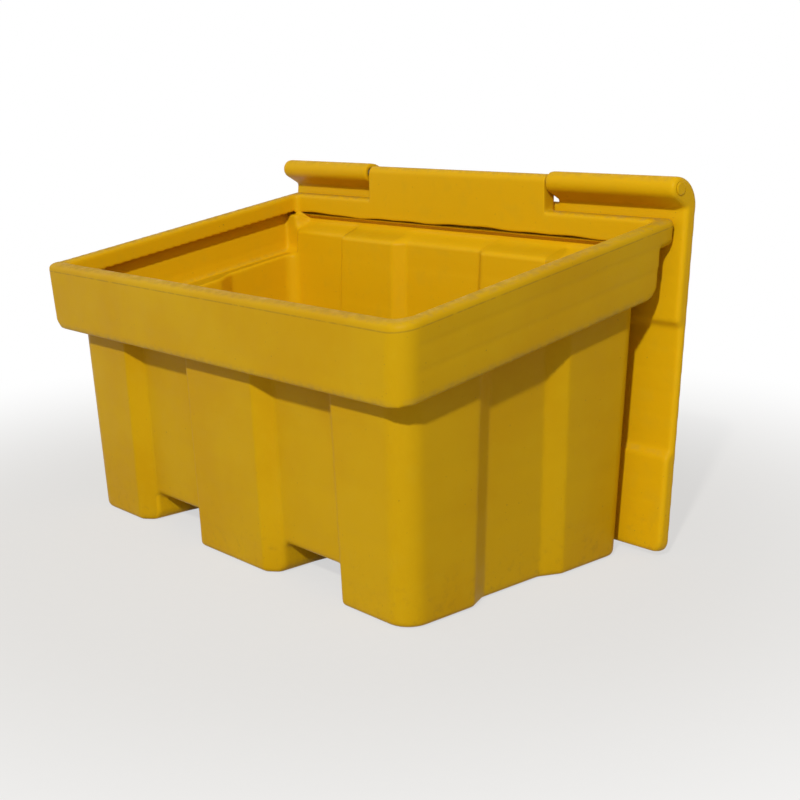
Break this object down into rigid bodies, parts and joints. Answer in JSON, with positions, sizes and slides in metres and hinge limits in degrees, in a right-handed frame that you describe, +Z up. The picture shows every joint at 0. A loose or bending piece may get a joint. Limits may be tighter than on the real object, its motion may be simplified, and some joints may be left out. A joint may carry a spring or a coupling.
{
  "type": "grit salt bin",
  "caption": "Rectangular moulded plastic grit bin on skids with fork channels, an overhanging rim and a hinged lid that swings right over and hangs behind.",
  "frame": {"origin": "on the ground, in the middle of the bin's width and between its front and rear walls", "axes": "+Z up, +Y towards the back where the hinge is, +X to the right of someone who stands in front of the bin"},
  "size_m": [1.237, 0.7623, 0.763],
  "materials": {
    "yellow_plastic": "satin rotomoulded polyethylene, weathered outdoors",
    "zinc_steel": "zinc plated",
    "plug_plastic": "satin"
  },
  "bodies": {
    "bin": {"bin_body": "yellow_plastic"},
    "lid": {"lid": "yellow_plastic", "hinge_rod": "zinc_steel", "hinge_plug_left": "plug_plastic", "hinge_plug_right": "plug_plastic"}
  },
  "joints": [
    {"name": "lid_hinge", "type": "hinge", "parent": "bin", "child": "lid", "pos_m": [0, 0.35025, 0.7405], "axis": [1, 0, 0], "range_deg": [0, 284.2]}
  ]
}
